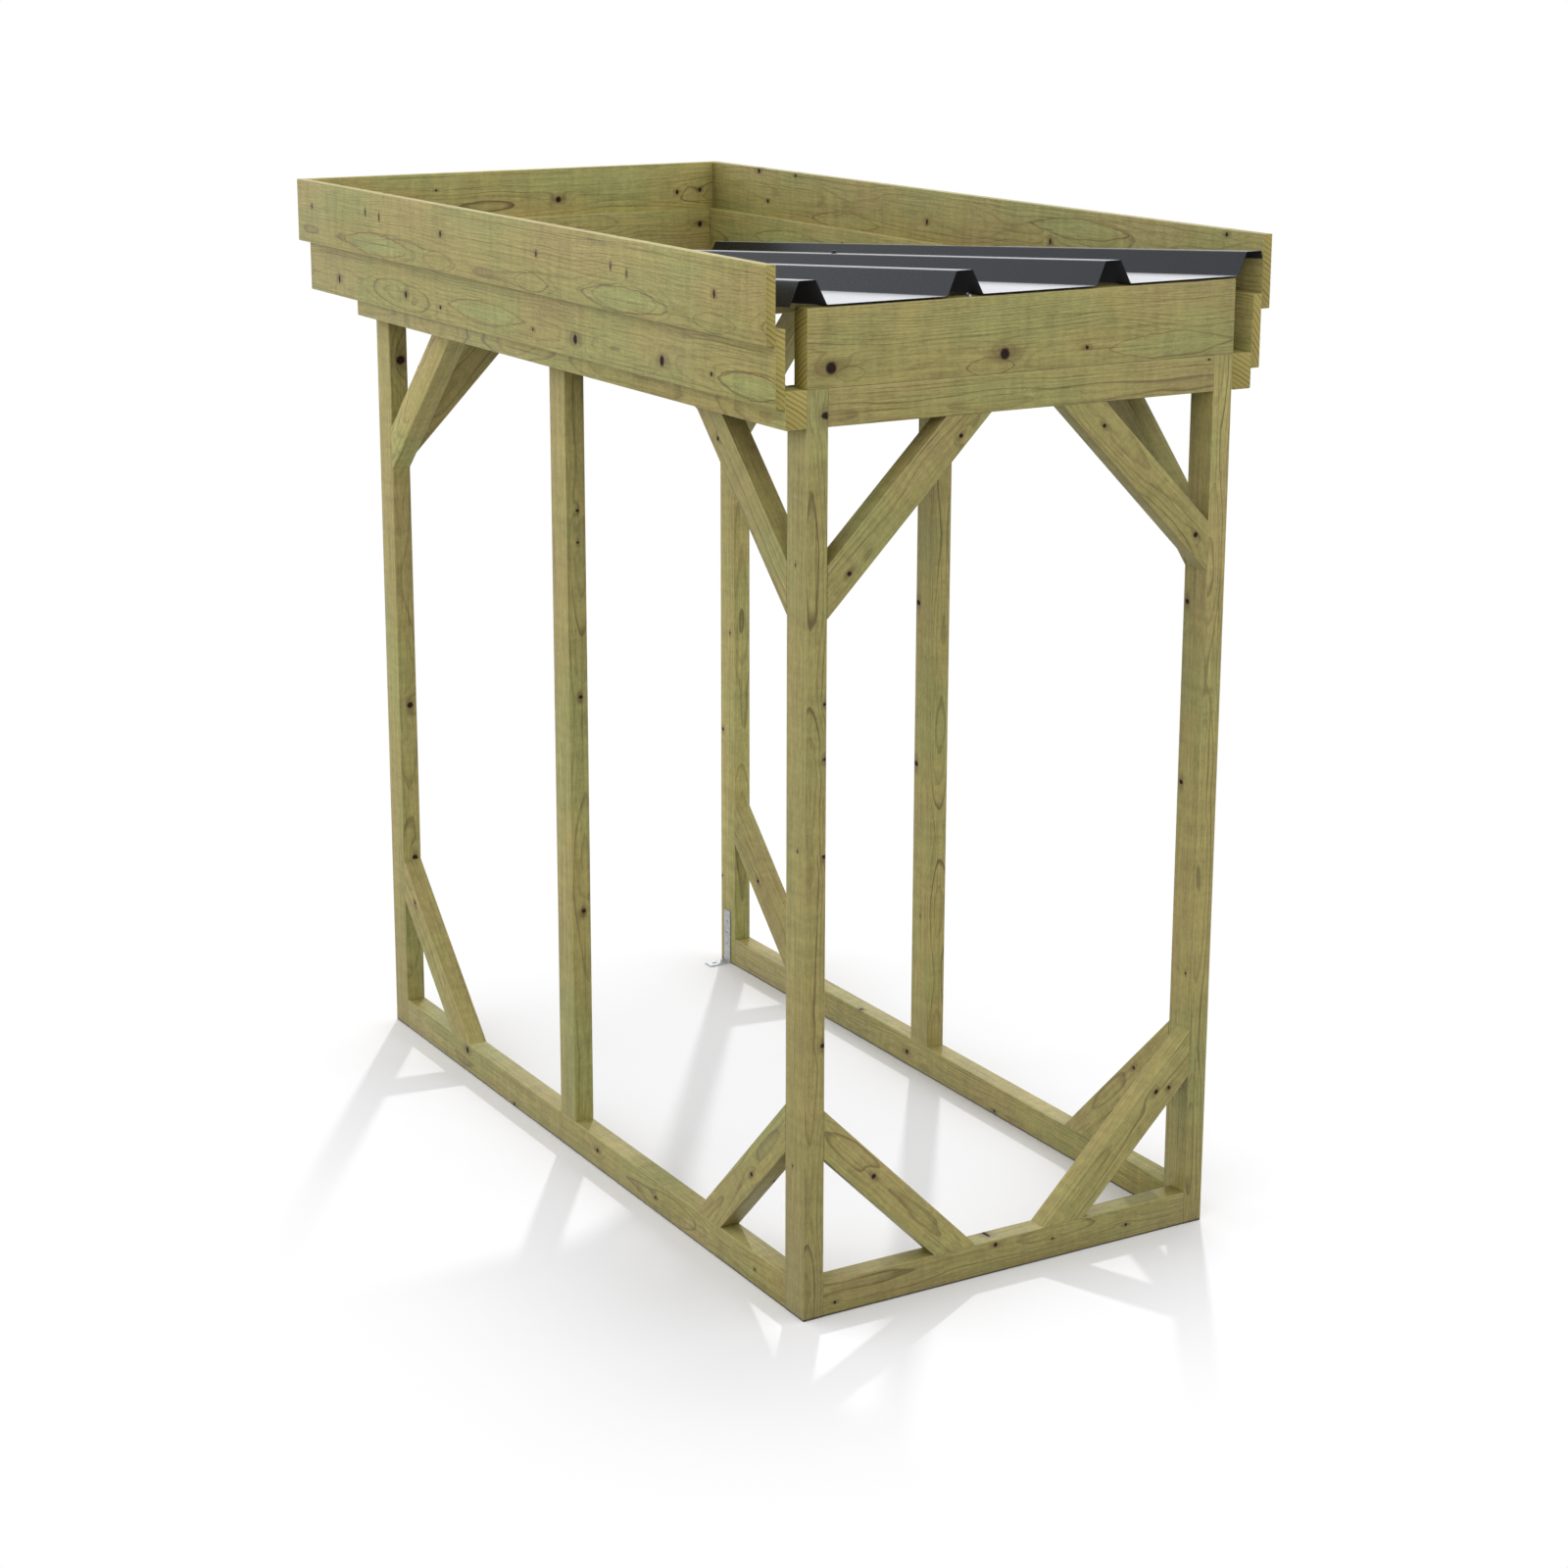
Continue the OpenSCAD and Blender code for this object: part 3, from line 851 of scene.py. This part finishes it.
def roofScrew():  # a hexagonal head on its sealing washer, standing on the origin
    washer = addDisc(32, screwSize["washer"], 0.0, screwSize["washerHeight"])
    head = addDisc(6, screwSize["hex"], screwSize["washerHeight"], screwSize["hexHeight"])
    for piece, ease in ((washer, 0.0005), (head, 0.0006)):
        settle(piece)
        top = max(vertex.co.z for vertex in piece.data.vertices)
        selectEdges(piece, lambda start, end: min(start.z, end.z) > top - 1e-5)
        editing(piece)
        bpy.ops.mesh.bevel(offset=ease, offset_type="OFFSET", segments=2, affect="EDGES")
        done()
    pick(head)
    washer.select_set(True)
    bpy.ops.object.join()
    bpy.ops.object.shade_smooth_by_angle(angle=math.radians(35))
    return head


def domeScrew():  # a low round head
    size = screwSize["dome"]
    bpy.ops.mesh.primitive_uv_sphere_add(segments=24, ring_count=16, radius=size, location=(0, 0, 0))
    head = bpy.context.object
    head.scale = (1, 1, screwSize["domeHeight"] / size)
    settle(head)
    editing(head)
    bpy.ops.mesh.select_all(action="SELECT")
    bpy.ops.mesh.bisect(plane_co=(0, 0, 0), plane_no=(0, 0, 1), clear_inner=True, use_fill=True)
    done()
    pick(head)
    bpy.ops.object.shade_smooth_by_angle(angle=math.radians(35))
    return head


def placeScrews(model, name, slot, material, places):  # places: a point and the way that the head looks
    for number, (point, way) in enumerate(places, 1):
        piece = model.copy()
        piece.data = model.data.copy()
        piece.name = f"{name}_{number}"
        bpy.context.scene.collection.objects.link(piece)
        piece.rotation_mode = "QUATERNION"
        piece.rotation_quaternion = way.to_track_quat("Z", "Y")
        piece.location = point
        settle(piece)
        addToPart(piece, slot, material)
    bpy.data.objects.remove(model)


def onCrest(x, y):
    return Vector((x, y, (crestLift - x * slope.x - y * slope.y) / slope.z))


def middleOf(name):
    low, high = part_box(name)
    return (low + high) / 2


crestScrews = [(onCrest(x, middleOf(name).y), slope) for name in ("purlin_mid", "top_beam_low")
               for x in crestPlaces[:-1]]
placeScrews(roofScrew(), "roof_screw", "steel_sheet", steelCoat, crestScrews)

purlinLow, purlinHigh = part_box("purlin_high")
purlinLong = purlinHigh.x - purlinLow.x
purlinScrews = [(Vector((purlinLow.x + share * purlinLong, purlinLow.y + inset, purlinHigh.z)), along["z"])
                for share, inset in screwSize["purlinPlaces"]]
placeScrews(domeScrew(), "purlin_screw", "zinc", zinc, purlinScrews)

for name in ("anchor_left", "anchor_right"):
    nodes[name].data.materials.clear()
    nodes[name].data.materials.append(zinc)
print("screws placed")


stageLook = {"floor": 0.96, "bounce": 0.29, "cool": 1.02, "world": 0.93, "fade": (0.05, 0.75)}
# where each light stands: turn and height in degrees, then its strength and its spread in degrees
suns = {"key_light": (35.0, 42.0, 0.95, 2.0), "fill_light": (-60.0, 10.0, 0.60, 60.0),
        "top_light": (0.0, 90.0, 0.14, 90.0), "front_light": (-160.0, 4.0, 0.24, 70.0)}


def floorPaint():  # white to the eye, greyer in what it throws back up
    made, tree, shader = newMaterial("studio_floor")
    place = Wire(tree, tree.nodes.new("ShaderNodeTexCoord").outputs["Object"])
    ray = tree.nodes.new("ShaderNodeLightPath")
    seen = Wire(tree, ray.outputs["Is Camera Ray"])
    mirrored = Wire(tree, ray.outputs["Is Glossy Ray"])
    x, y = place.xyz()[:2]
    half = (cadHigh - cadLow) / 2
    gapX = x.math("MAXIMUM", x.math("ABSOLUTE", x) - half.x, 0.0)
    gapY = y.math("MAXIMUM", y.math("ABSOLUTE", y) - half.y, 0.0)
    fade = ((gapX * gapX + gapY * gapY) ** 0.5).step(*stageLook["fade"])
    grey = stageLook["bounce"] + seen * (stageLook["floor"] - stageLook["bounce"])
    feed(tree, shader, Base_Color=place.pack(grey, grey, grey * stageLook["cool"]), Roughness=1.0)
    shader.inputs["Specular IOR Level"].default_value = 0.0
    white = place.node("ShaderNodeEmission", Color=(1, 1, 1, 1), Strength=1.0)
    share = seen.math("MAXIMUM", seen * fade, mirrored)
    blend = place.node("ShaderNodeMixShader", i0=share, i1=Wire(tree, shader.outputs[0]), i2=white)
    tree.links.new(blend.socket, tree.nodes["Material Output"].inputs["Surface"])
    return made


bpy.ops.mesh.primitive_plane_add(size=60, location=(0, 0, -0.0005))
floor = bpy.context.object
floor.name = "studio_floor"
floor.data.materials.append(floorPaint())

world = bpy.data.worlds.new("studio")
bpy.context.scene.world = world
world.use_nodes = True
skyTree = world.node_tree
ray = skyTree.nodes.new("ShaderNodeLightPath")
seen, mirrored, through = (Wire(skyTree, ray.outputs[name]) for name in
                           ("Is Camera Ray", "Is Glossy Ray", "Is Transmission Ray"))
white = seen.math("MAXIMUM", seen.math("MAXIMUM", seen, mirrored), through)
sky = skyTree.nodes["Background"]
sky.inputs["Color"].default_value = (1, 1, 1, 1)
strength = white.math("MAXIMUM", white, stageLook["world"])
skyTree.links.new(strength.socket, sky.inputs["Strength"])


def addSun(name, turn, height, strength, spread):
    turn, height = math.radians(turn), math.radians(height)
    toSun = Vector((math.cos(height) * math.sin(turn), math.cos(height) * math.cos(turn), math.sin(height)))
    lamp = bpy.data.lights.new(name, "SUN")
    lamp.energy = strength
    lamp.angle = math.radians(spread)
    holder = bpy.data.objects.new(name, lamp)
    bpy.context.scene.collection.objects.link(holder)
    holder.rotation_mode = "QUATERNION"
    holder.rotation_quaternion = toSun.to_track_quat("Z", "Y")
    holder.location = toSun * 6


for name, sun in suns.items():
    addSun(name, *sun)
print("stage set")

bpy.context.scene.view_settings.view_transform = "Standard"

cameraAt = {"place": (-3.2561, -5.7113, 2.5969), "turn": 30.025, "tilt": 13.983, "lens": 70.015,
            "shift": (0.01883, -0.06145)}
lens = bpy.data.cameras.new("camera")
lens.lens = cameraAt["lens"]
lens.sensor_width = 36
lens.shift_x, lens.shift_y = cameraAt["shift"]
camera = bpy.data.objects.new("camera", lens)
bpy.context.scene.collection.objects.link(camera)
camera.location = cameraAt["place"]
camera.rotation_euler = (math.radians(90 - cameraAt["tilt"]), 0, math.radians(-cameraAt["turn"]))
bpy.context.scene.camera = camera
